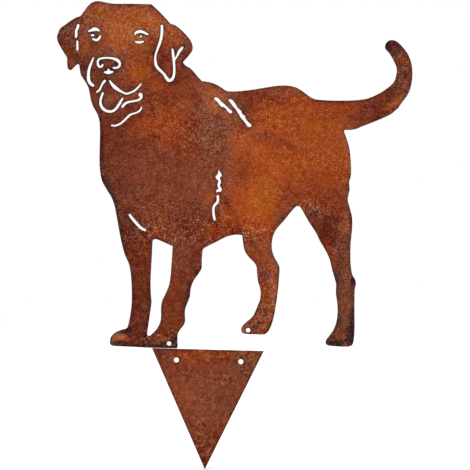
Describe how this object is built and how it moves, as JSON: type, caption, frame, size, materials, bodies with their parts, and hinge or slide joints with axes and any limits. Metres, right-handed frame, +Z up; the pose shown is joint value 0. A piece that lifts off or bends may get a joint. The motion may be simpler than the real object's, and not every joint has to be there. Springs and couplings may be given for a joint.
{
  "type": "dog garden stake",
  "caption": "Flat dog silhouette cut from rusted sheet steel, its drawing cut through as slots, on a triangular ground spike plate.",
  "frame": {"origin": "the ground line: the middle of the spike plate's top edge, in the middle of the sheet's thickness", "axes": "+Z up, the front faces along -Y, +X to the right seen from the front, towards the tail"},
  "size_m": [0.3554, 0.002, 0.468],
  "materials": {
    "rusted_steel": "matte"
  },
  "bodies": {
    "root": {"dog_plate": "rusted_steel", "spike_plate": "rusted_steel"}
  },
  "joints": []
}
